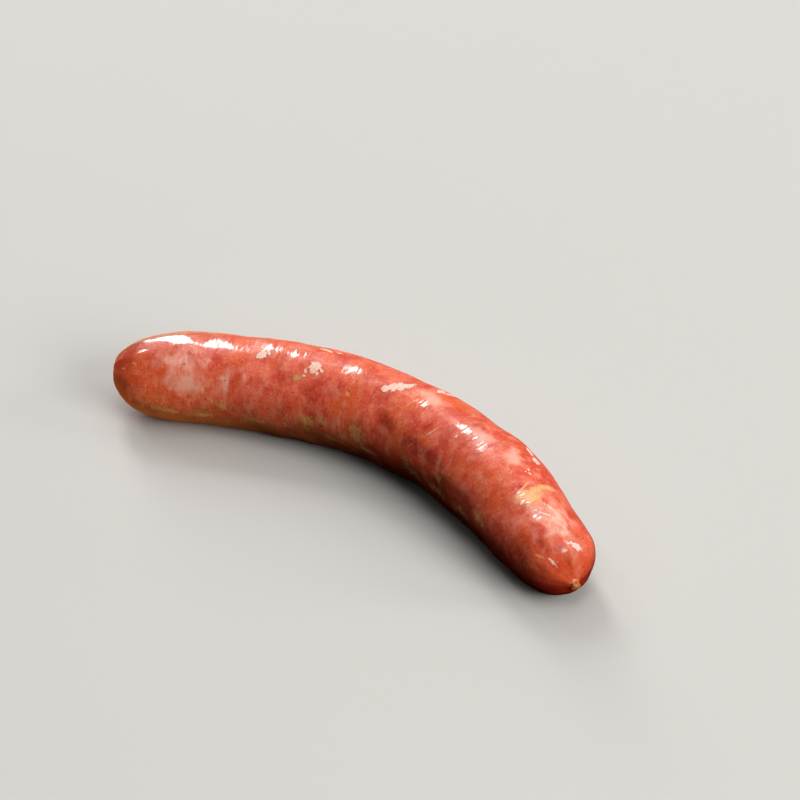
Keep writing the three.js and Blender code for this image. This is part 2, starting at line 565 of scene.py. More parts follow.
    def build(self) -> bpy.types.Object:
        """Makes the skin's mesh, with the attributes that its finish reads.

        Returns:
            The skin's object.
        """
        along = self.stations()
        around = np.linspace(0, TAU, self.sides, endpoint=False)
        body_along = np.repeat(along, self.sides)
        body_around = np.tile(around, self.rings)
        body = self.body_points(body_along, body_around)
        root = self.shape.centre(along[-1:])[0]
        share = np.linspace(0, 1, self.knot_rings + 1)[1:-1]
        knot_share = np.repeat(share, self.sides)
        knot_around = np.tile(around, share.size)
        knot = self.knot_points(root, knot_share, knot_around)
        last_ring = body[-self.sides :].mean(axis=0)
        knot += last_ring - root
        left = self.body_points(np.zeros(1), np.zeros(1))
        right = self.knot_points(last_ring, np.ones(1), np.zeros(1))
        points = self.press(np.vstack([left, body, knot, right]))
        faces = tube_faces(self.rings + share.size, self.sides)
        knot_along = self.shape.length + knot_share * self.knot_length
        all_along = np.concatenate([[0], body_along, knot_along, [self.shape.length + self.knot_length]])
        all_around = np.concatenate([[0], body_around, knot_around, [0]])
        skin = mesh_object("casing_skin", fit_to_box(points * MM, *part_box(NODE)), faces)
        self.mark(skin, SkinPoints(all_along, all_around, self.shape.radius))
        return skin

    def mark(self, skin: bpy.types.Object, spots: SkinPoints) -> None:
        """Writes the fields that the finish reads onto the skin.

        The knot's field rises from 0 over the last tenth of the link, and only where the skin has
        narrowed to near the knot's radius.

        Args:
            skin: The skin's object.
            spots: The grid's points on the unbent link.
        """
        bare = self.shape.body_radius(spots.along) * self.shape.fullness(spots.along)
        bare = np.where(spots.along > self.shape.length, 0, bare)
        shrunk = SkinPoints(spots.along, spots.around, 1)
        straight = shrunk.straight()
        straight[:, 1:] *= np.maximum(bare, 1)[:, None]
        write_vectors(skin, Field.STRAIGHT, straight * MM)
        for kind, marks in MARKS.items():
            write_numbers(skin, kind, spots.patches(marks))
        write_numbers(skin, Field.ALONG, spots.along / self.shape.length)
        near_knot = (spots.along - self.shape.length * 0.9) / (self.shape.length * 0.1)
        narrow = bare < self.knot_radius + 0.4
        write_numbers(skin, Field.KNOT, np.clip(near_knot, 0, 2) * narrow)
        write_numbers(skin, Field.UNDERSIDE, -np.sin(spots.around))


class Field(Enum):
    """The attributes that the casing's finish reads.

    STRAIGHT is the point on the unbent link, in metres. ALONG goes from 0 at the left tip to 1 at
    the right one, UNDERSIDE from -1 on top to 1 below, and KNOT is above 0 near the knot alone.
    The others say how far inside a mark the point is.
    """

    STRAIGHT = "straight"
    CREAM = "cream"
    TAN = "tan"
    BAND = "band"
    PALE = "pale"
    DARK = "dark"
    ORANGE = "orange"
    GLOSS = "gloss"
    ALONG = "along"
    UNDERSIDE = "underside"
    KNOT = "knot"


# Flakes of casing that dried to cream: most over the top, a few on the far side. The small mark at 168.4
# along is a painted glint instead.
CREAM_MARKS = [
    Mark(70.1, 110, 2.4, 2.1, 45),
    Mark(73, 113, 0.9, 0.5, 20),
    Mark(72, 118, 0.7, 0.5),
    Mark(67.6, 117, 0.8, 0.5, 40),
    Mark(67.6, 123, 0.8, 0.5, 30),
    Mark(71, 104, 0.6, 0.4, 40),
    Mark(50.9, 105, 2.0, 1.5, 100),
    Mark(53.0, 100, 1.1, 0.5, 60),
    Mark(55.4, 94, 1.2, 0.4, 80),
    Mark(97.0, 106, 1.5, 1.6, 120),
    Mark(98.6, 100, 1.6, 1.9, 110),
    Mark(100.4, 94, 1.8, 2.1, 100),
    Mark(102.4, 88, 1.5, 1.2, 110),
    Mark(103, 81, 1.2, 0.4, 110),
    Mark(109.9, 61, 2.4, 1.1, 80),
    Mark(112, 52, 2.6, 0.8, 100),
    Mark(70.2, 73, 2.6, 0.8, 8),
    Mark(74, 70, 1.6, 0.5, 8),
    Mark(152.3, 52, 2.2, 1.2, 20),
    Mark(147, 48, 2.4, 0.9, 10),
    Mark(158.3, 80, 1.6, 0.4, -30),
    Mark(157, 76, 0.9, 0.35, -30),
    # A painted glint.
    Mark(168.4, 114, 1.2, 0.5, 75),
    # Flakes and streaks.
    Mark(187.3, 137, 0.9, 0.8, 0),
    Mark(188, 128, 0.5, 0.4, 0),
    Mark(176, 99.5, 4.3, 0.4, -46),
    Mark(173.5, 87, 3.2, 0.38, -30),
    Mark(120, 318, 2.4, 1.6, 60),
    Mark(48, 345, 2.2, 1.2, 30),
    Mark(86, 5, 3.0, 2.2, 80),
    Mark(89.5, 9, 1.0, 0.7, 40),
    Mark(83, 12, 0.7, 0.5, 20),
    Mark(133, 22, 1.1, 1.0, 70),
    Mark(135, 27, 0.6, 0.4, 50),
]

# Tan mottles, mostly along the low side.
TAN_MARKS = [
    Mark(65.4, 127, 2.6, 1.5, 10),
    Mark(39.9, 177, 2.4, 1.7, 30),
    Mark(36, 171, 1.4, 0.8, 60),
    Mark(78.1, 170, 2.5, 2.1, 0),
    Mark(72, 179, 4.2, 3.1, 20),
    Mark(93.2, 176, 4.8, 3.6, 60),
    Mark(88, 184, 3.6, 1.6, 20),
    Mark(64, 190, 2.2, 0.9, 10),
    Mark(84.1, 195, 6, 1.1, 8),
    Mark(98, 191, 5, 1.2, 4),
    Mark(120, 186, 5, 2, 8),
    Mark(134, 186, 5, 2.2, 6),
    Mark(148, 184, 5, 2, 5),
    Mark(158, 170, 4, 2.2, 20),
    Mark(116, 176, 3.0, 1.6, 30),
    Mark(134, 168, 2.4, 1.4, 40),
    Mark(52, 192, 5, 1, 5),
    Mark(20, 193, 6, 1.3, 5),
    Mark(33, 197, 6, 1.5, -5),
    Mark(110, 230, 5, 3, 20),
    Mark(60, 320, 4, 2.4, 50),
    Mark(140, 300, 3.4, 2.0, 10),
]

# The amber band before the right tip, thin amber streaks, and amber dots. The three dots at the left tip
# are painted glints, and the two thin lines along creases are painted highlights.
BAND_MARKS = [
    Mark(166, 110, 3.6, 2.0, 70),
    Mark(166.2, 92, 5.6, 1.9, 88),
    Mark(165.5, 70, 5.0, 1.7, 92),
    Mark(168.8, 92, 4.0, 0.5, 78),
    Mark(163.2, 97, 4.0, 0.5, 66),
    Mark(85.5, 131, 0.9, 0.7, 0),
    # Painted glints at the left tip.
    Mark(5.3, 137, 0.7, 0.6, 0),
    Mark(8.1, 192, 0.7, 0.5, 30),
    Mark(9, 128, 1.2, 0.5, 30),
    # Painted highlights along two creases.
    Mark(122.4, 125, 4.4, 0.35, 115),
    Mark(108.7, 108, 4.0, 0.3, 115),
    # Thin amber streaks.
    Mark(184.6, 146, 1.8, 0.5, -40),
    Mark(176, 99.5, 4.3, 0.4, -46),
    Mark(173.5, 87, 3.2, 0.4, -26),
    Mark(168, 100, 5, 4, 88),
]

# Pale hazes, where fat lies close under the casing. The first two, over the right tip, are a painted
# sheen instead.
PALE_MARKS = [
    # Painted sheen over the right tip.
    Mark(178, 90, 13, 13, 60),
    Mark(182, 84, 9, 6.5, 90),
    # Fat hazes.
    Mark(41, 150, 7, 1.6, 90),
    Mark(22, 160, 2.4, 1.6, 90),
    Mark(25, 124, 13, 6, 0),
    Mark(28, 150, 14, 7, 0),
    Mark(33, 158, 5, 1.2, 90),
    Mark(39.3, 142, 1.6, 1.4, 90),
    Mark(47, 138, 2.4, 1.6, 90),
    Mark(112, 88, 10, 5, 5),
    Mark(138, 92, 9, 5, 5),
    Mark(150, 82, 9, 6, 10),
]

# Deeper red clouds, and small brown specks and lines. Several marks are painted shade instead: on the
# front of the left tip, low on the front of both tips, on the front of the right half, and in and beside
# two creases.
DARK_MARKS = [
    # Painted shade on the front of the left tip.
    Mark(5, 168, 6, 4, 70),
    # A red blush and a dark red spot on the right tip.
    Mark(187.5, 106, 2.6, 4.5, 0),
    Mark(184, 130, 3, 2.4, 0),
    Mark(186.3, 160, 2.4, 2, 0),
    # Painted shade on the front of the right half.
    Mark(119, 152, 8, 4, 0),
    Mark(142, 170, 16, 5, 0),
    # Painted shade low on the front of the right tip, then of the left one.
    Mark(187.5, 185, 5, 9, 0),
    Mark(12, 196, 8, 3, 10),
    # Small brown specks.
    Mark(27.2, 111, 0.9, 0.6, 40),
    Mark(25.2, 127, 1.1, 0.8, 90),
    # Painted shade in a let-in crease, then beside a raised one.
    Mark(163, 102, 2.4, 0.6, 86),
    Mark(119.6, 122, 3.0, 0.7, 115),
    # Painted shade on the front of the right half.
    Mark(128, 150, 9, 3.5, 0),
    Mark(104, 142, 6, 3, 20),
]

# Orange clouds.
ORANGE_MARKS = [
    Mark(46, 118, 6, 4, 90),
    Mark(9, 122, 6, 5, 60),
    Mark(88, 122, 4, 3, 90),
    Mark(56, 112, 4, 3, 90),
    Mark(120, 70, 14, 2, 2),
    Mark(62, 66, 12, 2, 4),
    Mark(150, 128, 7, 5, 40),
    Mark(86, 148, 9, 6, 0),
    Mark(108, 150, 7, 5, 0),
]

# Where oil lies on the casing, so that it mirrors a lamp.
GLOSS_MARKS = [
    Mark(20, 90, 17, 9, 4),
    Mark(38.6, 92, 3.2, 2.6, 0),
    Mark(54, 96, 3.6, 3, 60),
    Mark(62, 97, 2.6, 3, 60),
    Mark(84, 103, 3, 3.4, 90),
    Mark(112, 103, 2, 1.5, 0),
    Mark(134.2, 99, 6, 5.5, 0),
    Mark(137.5, 103, 2, 1.6, 0),
    Mark(141.6, 113, 2.4, 1.6, 0),
    Mark(168, 112, 4, 3, 60),
    Mark(174, 108, 3, 4, 0),
    Mark(186.2, 74, 3.6, 4.2, 0),
    Mark(188.8, 100, 1.6, 2.6, 0),
]

MARKS = {
    Field.CREAM: CREAM_MARKS,
    Field.TAN: TAN_MARKS,
    Field.BAND: BAND_MARKS,
    Field.PALE: PALE_MARKS,
    Field.DARK: DARK_MARKS,
    Field.ORANGE: ORANGE_MARKS,
    Field.GLOSS: GLOSS_MARKS,
}

# Where the casing is stretched smooth.
TAUT_MARKS = [
    Mark(22, 92, 22, 10, 0),
    Mark(133, 98, 10, 9, 0),
]

# Where it is drawn up in fine wrinkles.
DRAWN_MARKS = [
    Mark(42, 100, 3, 4, 0),
    Mark(57, 98, 9, 7, 0),
    Mark(84, 102, 6, 6, 0),
    Mark(112, 103, 4, 5, 0),
    Mark(134, 99, 9, 8, 0),
    Mark(168, 104, 7, 12, 0),
    Mark(185, 80, 7, 9, 0),
]

# Single folds that stand up, or are let in where the height is negative.
CREASES = [
    Crease((121.1, 136), (123.9, 114)),
    Crease((107.6, 118), (109.8, 98)),
    Crease((60.7, 112), (64.4, 90)),
    Crease((82.2, 108), (84.0, 96), 0.35, 0.1),
    Crease((83.4, 109), (85.2, 98), 0.35, 0.12),
    Crease((84.8, 107), (86.4, 97), 0.35, 0.1),
    Crease((79.8, 104), (81.6, 94), 0.35, 0.08),
    Crease((169, 100), (180, 92), 0.55, 0.2),
    Crease((172, 108), (185, 100), 0.5, 0.18),
    Crease((163.1, 108), (164, 84), 0.9, -0.2),
    Crease((169.5, 118), (170.5, 80), 0.8, 0.16),
    Crease((186.5, 112), (189.5, 96), 0.5, 0.16),
    Crease((130, 104), (132, 88), 0.4, 0.06),
    Crease((133, 106), (135, 90), 0.4, 0.07),
    Crease((135.6, 108), (137.4, 96), 0.4, 0.07),
]


def fit_to_box(points: Array, low: Vector, high: Vector) -> Array:
    """Moves and stretches points by a hair, so that their box is the frame's box.

    Each coordinate goes from its own lowest and highest to the box's, in proportion.

    Args:
        points: Points in metres.
        low: The box's lowest corner.
        high: Its highest corner.

    Returns:
        The points in the frame.
    """
    low, high = np.array(low), np.array(high)
    own_low, own_high = points.min(axis=0), points.max(axis=0)
    return low + (points - own_low) * (high - low) / (own_high - own_low)


def tube_faces(rings: int, sides: int) -> tuple[Array, Array]:
    """The faces of a closed tube: a first point, rings of points in order, and a last point.

    Args:
        rings: How many rings.
        sides: Points in each.

    Returns:
        The vertex numbers of the quads, and those of the triangles at the two ends.
    """
    grid = 1 + np.arange(rings * sides).reshape(rings, sides)
    beside = np.roll(grid, -1, axis=1)
    quads = np.stack([grid[:-1], beside[:-1], beside[1:], grid[1:]], axis=-1).reshape(-1, 4)
    first = np.stack([np.zeros(sides, int), beside[0], grid[0]], axis=-1)
    end = np.full(sides, 1 + rings * sides)
    last = np.stack([end, grid[-1], beside[-1]], axis=-1)
    return quads, np.vstack([first, last])


def mesh_object(name: str, points: Array, faces: tuple[Array, Array]) -> bpy.types.Object:
    """Puts points and faces into a smooth mesh object at the origin.

    Args:
        name: The piece's name.
        points: Vertices in metres.
        faces: Quads and triangles as vertex numbers.

    Returns:
        The object, linked to the scene.
    """
    quads, triangles = faces
    corners = np.concatenate([quads.ravel(), triangles.ravel()])
    sizes = np.concatenate([np.full(len(quads), 4), np.full(len(triangles), 3)])
    mesh = bpy.data.meshes.new(name)
    mesh.vertices.add(len(points))
    mesh.vertices.foreach_set("co", points.astype(np.float32).ravel())
    mesh.loops.add(len(corners))
    mesh.loops.foreach_set("vertex_index", corners.astype(np.int32))
    mesh.polygons.add(len(sizes))
    starts = np.concatenate([[0], np.cumsum(sizes)[:-1]])
    mesh.polygons.foreach_set("loop_start", starts.astype(np.int32))
    mesh.polygons.foreach_set("use_smooth", np.ones(len(sizes), dtype=bool))
    mesh.update(calc_edges=True)
    mesh.validate()
    piece = bpy.data.objects.new(name, mesh)
    bpy.context.scene.collection.objects.link(piece)
    return piece


def write_numbers(piece: bpy.types.Object, kind: Field, values: Array) -> None:
    """Keeps one number for each vertex under a field's name."""
    layer = piece.data.attributes.new(kind.value, "FLOAT", "POINT")
    layer.data.foreach_set("value", values.astype(np.float32))


def write_vectors(piece: bpy.types.Object, kind: Field, values: Array) -> None:
    """Keeps one vector for each vertex under a field's name."""
    layer = piece.data.attributes.new(kind.value, "FLOAT_VECTOR", "POINT")
    layer.data.foreach_set("vector", values.astype(np.float32).ravel())


class Sketch:
    """Adds nodes to one node tree, and joins a value or another node's socket to their inputs."""

    def __init__(self, tree: bpy.types.NodeTree) -> None:
        """Keeps the tree that nodes are added to."""
        self.tree = tree

    def node(self, kind: str, **settings: object) -> bpy.types.Node:
        """Adds a node and sets its options."""
        made = self.tree.nodes.new(kind)
        for name, value in settings.items():
            setattr(made, name, value)
        return made

    def feed(self, target: Socket, value: object) -> None:
        """Joins a socket to an input, or writes a plain value into it."""
        if isinstance(value, bpy.types.NodeSocket):
            self.tree.links.new(value, target)
        else:
            target.default_value = value

    def number(self, kind: Field) -> Socket:
        """The piece's attribute as a number."""
        return self.node("ShaderNodeAttribute", attribute_name=kind.value).outputs["Fac"]

    def vector(self, kind: Field, stretch: tuple[float, float, float] = (1, 1, 1)) -> Socket:
        """The piece's attribute as a vector, each coordinate multiplied by its stretch."""
        source = self.node("ShaderNodeAttribute", attribute_name=kind.value).outputs["Vector"]
        scaled = self.node("ShaderNodeVectorMath", operation="MULTIPLY")
        self.feed(scaled.inputs[0], source)
        self.feed(scaled.inputs[1], stretch)
        return scaled.outputs[0]

    def noise(self, vector: Socket, size: float, detail: float = 2, rough: float = 0.5) -> Socket:
        """Cloudy noise whose clouds are about size metres across."""
        made = self.node("ShaderNodeTexNoise")
        self.feed(made.inputs["Vector"], vector)
        self.feed(made.inputs["Scale"], 1 / size)
        self.feed(made.inputs["Detail"], detail)
        self.feed(made.inputs["Roughness"], rough)
        return made.outputs[0]

    def cells(self, vector: Socket, size: float, feature: str = "F1", out: str = "Distance") -> Socket:
        """Distances in Voronoi cells about size metres across, or, as Color, a random value each."""
        made = self.node("ShaderNodeTexVoronoi", feature=feature)
        self.feed(made.inputs["Vector"], vector)
        self.feed(made.inputs["Scale"], 1 / size)
        return made.outputs[out]

    def step(self, value: Socket, low: float, high: float, top: float = 1) -> Socket:
        """A smooth step from 0 at low to top at high, where low may be the larger."""
        made = self.node("ShaderNodeMapRange", interpolation_type="SMOOTHSTEP")
        flip = low > high
        self.feed(made.inputs["Value"], value)
        self.feed(made.inputs["From Min"], high if flip else low)
        self.feed(made.inputs["From Max"], low if flip else high)
        self.feed(made.inputs["To Min"], top if flip else 0)
        self.feed(made.inputs["To Max"], 0 if flip else top)
        return made.outputs[0]

    def sum(self, first: Socket, second: Socket | float, times: float = 1) -> Socket:
        """First plus second times a number."""
        made = self.node("ShaderNodeMath", operation="MULTIPLY_ADD")
        self.feed(made.inputs[0], second)
        self.feed(made.inputs[1], times)
        self.feed(made.inputs[2], first)
        return made.outputs[0]

    def product(self, first: Socket, second: Socket | float) -> Socket:
        """First times second."""
        made = self.node("ShaderNodeMath", operation="MULTIPLY")
        self.feed(made.inputs[0], first)
        self.feed(made.inputs[1], second)
        return made.outputs[0]

    def blend(self, share: Socket | float, first: Socket | Colour, second: Socket | Colour) -> Socket:
        """A colour that goes from first to second as share goes from 0 to 1."""
        made = self.node("ShaderNodeMix", data_type="RGBA")
        self.feed(made.inputs[0], share)
        self.feed(made.inputs[6], first)
        self.feed(made.inputs[7], second)
        return made.outputs[2]


@dataclass(frozen=True)
class CookedCasing:
    """Pink, mottled meat seen through a thin, oily casing that has dried to cream in patches.

    Attributes:
        rose: Paler meat.
        brick: Redder meat.
        deep: Dark grain, clouds and shade.
        orange: Orange clouds, and the right tip.
        fat: Fat, and its haze, which over the right tip is a painted sheen.
        tan: The browned underside, darker partly as painted shade.
        rust: The browned left tip.
        olive: Tan mottles.
        cream: Dried flakes, the palest haze, a painted glint, and a painted sheen over the right tip.
        amber: The band before the right tip and thin streaks; some small marks of it are painted glints
            and highlights.
        pepper: Specks.
        knot: The knot.
        matt: Roughness of the casing under the oil.
        drier: What bare casing adds to it.
        chalky: What a cream flake adds to it.
        least_oil: Strength of the oil's coat where there is none to see.
        oil_roughness: Roughness of the oil.
        oil_index: How strongly the oil mirrors, as its index of refraction.
        sheen: Strength of the bare casing's mirroring.
        glow: Share of the light that passes under the skin.
        glow_reach: How far each of red, green and blue passes, as a share of the depth.
        glow_depth: Metres that red passes.
    """

    rose: Colour = paint(236, 106, 76)
    brick: Colour = paint(212, 66, 40)
    deep: Colour = paint(140, 22, 10)
    orange: Colour = paint(230, 92, 34)
    fat: Colour = paint(245, 166, 144)
    tan: Colour = paint(146, 96, 50)
    rust: Colour = paint(180, 38, 8)
    olive: Colour = paint(208, 164, 104)
    cream: Colour = paint(252, 216, 198)
    amber: Colour = paint(248, 190, 128)
    pepper: Colour = paint(66, 20, 12)
    knot: Colour = paint(206, 130, 80)
    matt: float = 0.3
    drier: float = 0.2
    chalky: float = 0.1
    least_oil: float = 0.06
    oil_roughness: float = 0.09
    oil_index: float = 1.75
    sheen: float = 0.25
    glow: float = 0.25
    glow_reach: tuple[float, float, float] = (1, 0.3, 0.16)
    glow_depth: float = 2.2 * MM

    def meat(self, on: Sketch) -> Socket:
        """Coarse ground meat: clouds of rose, brick and orange, dark grain and pale fat, with painted
        shade from some dark marks, a painted sheen over the right tip and some painted sparkle.

        Args:
            on: The material's node tree.

        Returns:
            The colour.
        """
        skin = on.vector(Field.STRAIGHT, (1.15, 1, 1))
        columns = on.noise(on.vector(Field.STRAIGHT, (1.5, 1, 1)), 7.5 * MM, 2, 0.5)
        broad = on.sum(on.noise(skin, 15 * MM, 2, 0.5), on.step(on.number(Field.ORANGE), -0.4, 0.8), 0.2)
        clouds = on.noise(skin, 3.4 * MM, 3, 0.5)
        grain = on.noise(on.vector(Field.STRAIGHT), 0.9 * MM, 3, 0.6)
        mixed = on.sum(on.product(columns, 0.6), clouds, 0.4)
        colour = on.blend(on.step(mixed, 0.4, 0.6), self.brick, self.rose)
        colour = on.blend(on.step(broad, 0.47, 0.68, 0.7), colour, self.orange)
        colour = on.blend(on.step(grain, 0.42, 0.35, 0.36), colour, self.deep)
        colour = on.blend(on.step(grain, 0.58, 0.66, 0.3), colour, self.fat)
        # Fine dark specks, and fine pale specks that are partly fat and partly a painted sparkle of tiny
        # highlights.
        speckle = on.noise(on.vector(Field.STRAIGHT), 0.5 * MM, 2, 0.6)
        coarse = on.step(clouds, 0.46, 0.6)
        colour = on.blend(on.product(on.step(speckle, 0.43, 0.3, 0.6), coarse), colour, self.deep)
        colour = on.blend(on.product(on.step(speckle, 0.57, 0.7, 0.6), coarse), colour, self.fat)
        # Deeper red clouds from the dark marks, and painted shade where those marks stand for it.
        dark = on.sum(on.number(Field.DARK), clouds, 1.2)
        colour = on.blend(on.step(dark, 0.5, 1.3, 0.7), colour, self.deep)
        # Pale fat haze from the pale marks; over the right tip it is a painted sheen.
        haze = on.sum(on.number(Field.PALE), clouds, 1.6)
        colour = on.blend(on.step(haze, 0.8, 1.8, 0.6), colour, self.fat)
        # The densest haze pales further, to cream, twice as much near the right tip: more painted sheen
        # there.
        bloom = on.sum(on.step(on.number(Field.ALONG), 0.9, 0.95, 0.35), 0.35)
        colour = on.blend(on.product(on.step(haze, 1.1, 1.95), bloom), colour, self.cream)
        lumps = on.noise(on.vector(Field.STRAIGHT, (1.2, 1, 1)), 4.2 * MM, 3, 0.5)
        pale = on.sum(lumps, on.step(on.number(Field.PALE), -0.2, 0.8), 0.08)
        colour = on.blend(on.step(pale, 0.48, 0.82, 0.5), colour, self.fat)
        specks = on.step(on.cells(skin, 2.3 * MM), 0.24, 0.1, 0.4)
        colour = on.blend(on.product(specks, on.step(columns, 0.5, 0.6)), colour, self.fat)
        wisps = on.noise(on.vector(Field.STRAIGHT, (1.3, 1, 1)), 2 * MM, 4, 0.6)
        threads = on.product(on.step(wisps, 0.46, 0.5), on.step(wisps, 0.54, 0.5))
        return on.blend(on.product(threads, 0.14), colour, self.fat)

    def ends(self, on: Sketch, colour: Socket) -> Socket:
        """Adds the browned left tip, the orange right tip, the knot, the brown underside, partly painted
        shade, and painted shade low on the right half and the right tip.

        Args:
            on: The material's node tree.
            colour: The meat's colour.

        Returns:
            The colour.
        """
        skin = on.vector(Field.STRAIGHT, (1.1, 1, 1))
        clouds = on.noise(skin, 7 * MM, 4, 0.6)
        mottles = on.noise(skin, 2.6 * MM, 4, 0.65)
        # The underside browns to tan; it is darker than the top partly as painted shade.
        low = on.sum(on.sum(on.number(Field.UNDERSIDE), clouds, 0.9), mottles, 1.3)
        colour = on.blend(on.step(low, 0.75, 1.7, 0.68), colour, self.tan)
        left = on.step(on.sum(on.number(Field.ALONG), clouds, 0.06), 0.1, 0.035, 0.85)
        colour = on.blend(left, colour, self.rust)
        right = on.step(on.sum(on.number(Field.ALONG), mottles, 0.3), 1.07, 1.2, 0.75)
        colour = on.blend(right, colour, self.orange)
        # Painted shade: the low side of the right half is darkened towards deep, a little more at the
        # right tip.
        half = on.step(on.number(Field.ALONG), 0.4, 0.6, 0.75)
        tip = on.step(on.number(Field.ALONG), 0.94, 0.98, 0.15)
        shaded = on.product(on.step(on.number(Field.UNDERSIDE), -0.5, 0.3), on.sum(half, tip))
        colour = on.blend(shaded, colour, self.deep)
        return on.blend(on.step(on.number(Field.KNOT), 0.93, 0.99, 0.8), colour, self.knot)

    def dried(self, on: Sketch, colour: Socket) -> tuple[Socket, Socket]:
        """Adds what has dried on the casing: tan mottles, amber bands, pepper and cream flakes. Some
        amber and cream marks are painted glints and highlights, and a painted shadow rings each flake.

        Args:
            on: The material's node tree.
            colour: The meat's colour.

        Returns:
            The colour, and the mask of the cream flakes.
        """
        plain = on.vector(Field.STRAIGHT)
        ragged = on.noise(plain, 2.2 * MM, 5, 0.7)
        fine = on.noise(plain, 0.7 * MM, 3, 0.65)
        tan = on.sum(on.sum(on.product(on.number(Field.TAN), 0.5), ragged, 1.6), fine, 1.2)
        colour = on.blend(on.step(tan, 1.35, 1.9, 0.8), colour, self.olive)
        band = on.sum(on.sum(on.number(Field.BAND), ragged, 1.3), fine, 1.1)
        colour = on.blend(on.step(band, 1.0, 1.95, 0.8), colour, self.amber)
        dots = on.step(on.cells(plain, 3.4 * MM), 0.085, 0.06)
        where = on.step(on.noise(plain, 14 * MM), 0.5, 0.56)
        colour = on.blend(on.product(dots, where), colour, self.pepper)
        chips = on.cells(plain, 0.8 * MM, out="Color")
        rim = on.sum(on.sum(on.number(Field.CREAM), chips, 0.55), ragged, 0.6)
        rim = on.sum(rim, fine, 0.8)
        cream = on.step(rim, 0.96, 1.03)
        cracks = on.step(on.cells(plain, 0.9 * MM, "DISTANCE_TO_EDGE"), 0.0, 0.16, 0.35)
        worn = on.sum(on.step(fine, 0.35, 0.6, 0.3), 0.7)
        solid = on.product(on.product(cream, on.sum(cracks, 0.7)), worn)
        # Painted shadow: a thin dark ring just outside each cream flake.
        edge = on.product(on.step(rim, 0.82, 0.94), on.step(cream, 0.6, 0))
        colour = on.blend(on.product(edge, 0.45), colour, self.deep)
        return on.blend(solid, colour, self.cream), cream

    def make(self) -> bpy.types.Material:
        """Builds the material.

        Returns:
            The material.
        """
        material = bpy.data.materials.new("cooked_casing")
        material.use_nodes = True
        material.node_tree.nodes.clear()
        on = Sketch(material.node_tree)
        output = on.node("ShaderNodeOutputMaterial")
        shader = on.node("ShaderNodeBsdfPrincipled")
        on.feed(output.inputs["Surface"], shader.outputs[0])
        colour, cream = self.dried(on, self.ends(on, self.meat(on)))
        on.feed(shader.inputs["Base Color"], colour)
        smear = on.noise(on.vector(Field.STRAIGHT, (2, 1, 1)), 4 * MM, 4, 0.65)
        oily = on.step(on.sum(on.number(Field.GLOSS), smear, 2.2), 0.55, 1.6)
        bare = on.step(oily, 1, 0)
        rough = on.sum(on.sum(on.product(bare, self.drier), self.matt), cream, self.chalky)
        on.feed(shader.inputs["Roughness"], rough)
        coat = on.sum(on.product(oily, 1 - self.least_oil), self.least_oil)
        on.feed(shader.inputs["Coat Weight"], coat)
        shader.inputs["Coat Roughness"].default_value = self.oil_roughness
        shader.inputs["Coat IOR"].default_value = self.oil_index
        shader.inputs["Specular IOR Level"].default_value = self.sheen
        shader.inputs["Subsurface Weight"].default_value = self.glow
        shader.inputs["Subsurface Radius"].default_value = self.glow_reach
        shader.inputs["Subsurface Scale"].default_value = self.glow_depth
        on.feed(shader.inputs["Normal"], self.relief(on, cream))
        return material

    def relief(self, on: Sketch, cream: Socket) -> Socket:
        """Fine wrinkles round the link, pimples, and the thickness of the cream flakes.

        Args:
            on: The material's node tree.
            cream: The mask of the cream flakes.

        Returns:
            The bumped normal.
        """
        creased = on.noise(on.vector(Field.STRAIGHT, (4, 1, 1)), 2.4 * MM, 4, 0.6)
        pimples = on.noise(on.vector(Field.STRAIGHT), 0.9 * MM, 3, 0.55)
        height = on.sum(on.product(creased, 0.045), pimples, 0.045)
        height = on.sum(height, cream, 0.06)
        bump = on.node("ShaderNodeBump")
        bump.inputs["Distance"].default_value = MM
        bump.inputs["Strength"].default_value = 1
        on.feed(bump.inputs["Height"], height)
        return bump.outputs[0]


@dataclass(frozen=True)
class PhotoCamera:
    """The photograph's view: its angle, its long lens, and where the link stands in the frame.

    Attributes:
        azimuth: Degrees from -Y towards +X at which the camera stands.
        elevation: Degrees above the floor at which it stands.
        distance: Metres that it is back from the origin.
        aside: Metres that it is moved to its right.
        above: Metres that it is moved to its top.
        lens: Focal length in millimetres.
        sensor: Width of the film in millimetres.
        farthest: Metres that it sees.
    """

    azimuth: float = 34.4
    elevation: float = 35.7
    distance: float = 1.0501
    aside: float = 0.00988
    above: float = 0.02331
    lens: float = 148.5
    sensor: float = 36
    farthest: float = 20

    def build(self) -> None:
        """Makes the camera and aims it."""
        turn, lift = np.radians(self.azimuth), np.radians(self.elevation)
        back = Vector((np.sin(turn) * np.cos(lift), -np.cos(turn) * np.cos(lift), np.sin(lift)))
        right = Vector((np.cos(turn), np.sin(turn), 0))
        up = back.cross(right)
        place = back * self.distance + right * self.aside + up * self.above
        data = bpy.data.cameras.new("photo_camera")
        data.lens = self.lens
        data.sensor_width = self.sensor
        data.clip_end = self.farthest
        camera = bpy.data.objects.new("photo_camera", data)
        axes = Matrix((right, up, back)).transposed().to_4x4()
        camera.matrix_world = Matrix.Translation(place) @ axes
        bpy.context.scene.collection.objects.link(camera)
        bpy.context.scene.camera = camera


